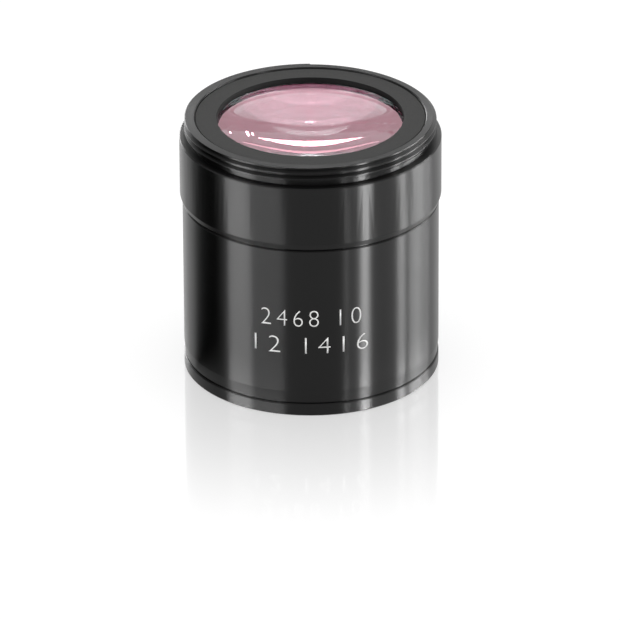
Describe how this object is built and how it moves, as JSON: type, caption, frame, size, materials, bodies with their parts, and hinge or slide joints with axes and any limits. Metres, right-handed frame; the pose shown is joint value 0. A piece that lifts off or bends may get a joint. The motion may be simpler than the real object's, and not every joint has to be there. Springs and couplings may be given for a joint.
{
  "type": "microscope objective",
  "caption": "Large round black lens barrel with a threaded rear collar, a grip ring, a long sleeve and a coated lens in a dull ring.",
  "frame": {"origin": "centre of the nose face that it stands on", "axes": "+Z along the optical axis, from the nose to the mounting thread"},
  "size_m": [0.0624, 0.0624, 0.0645],
  "materials": {
    "black_anodised_aluminium": "gloss black anodised",
    "matte_black_aluminium": "matte black anodised",
    "blackened_brass": "blackened",
    "brass": "satin",
    "black_oxide_steel": "black oxide",
    "coated_glass": "polished, magenta antireflection coating",
    "optical_glass": "polished"
  },
  "bodies": {
    "root": {"mount_ring": "black_anodised_aluminium", "outer_sleeve": "black_anodised_aluminium", "nose_ring": "black_anodised_aluminium", "rear_retaining_ring": "matte_black_aluminium", "parfocal_shim": "brass", "main_lens_cell": "matte_black_aluminium", "front_lens_cell": "matte_black_aluminium", "air_gap_shim": "brass", "front_retaining_ring": "matte_black_aluminium", "cell_set_screws": "black_oxide_steel", "rear_crown_lens": "coated_glass", "rear_flint_lens": "optical_glass", "rear_spacer": "matte_black_aluminium", "middle_crown_lens": "optical_glass", "middle_flint_lens": "optical_glass", "light_stop": "blackened_brass", "meniscus_lens": "coated_glass", "front_spacer": "matte_black_aluminium", "front_flint_lens": "optical_glass", "front_crown_lens": "coated_glass"}
  },
  "joints": []
}
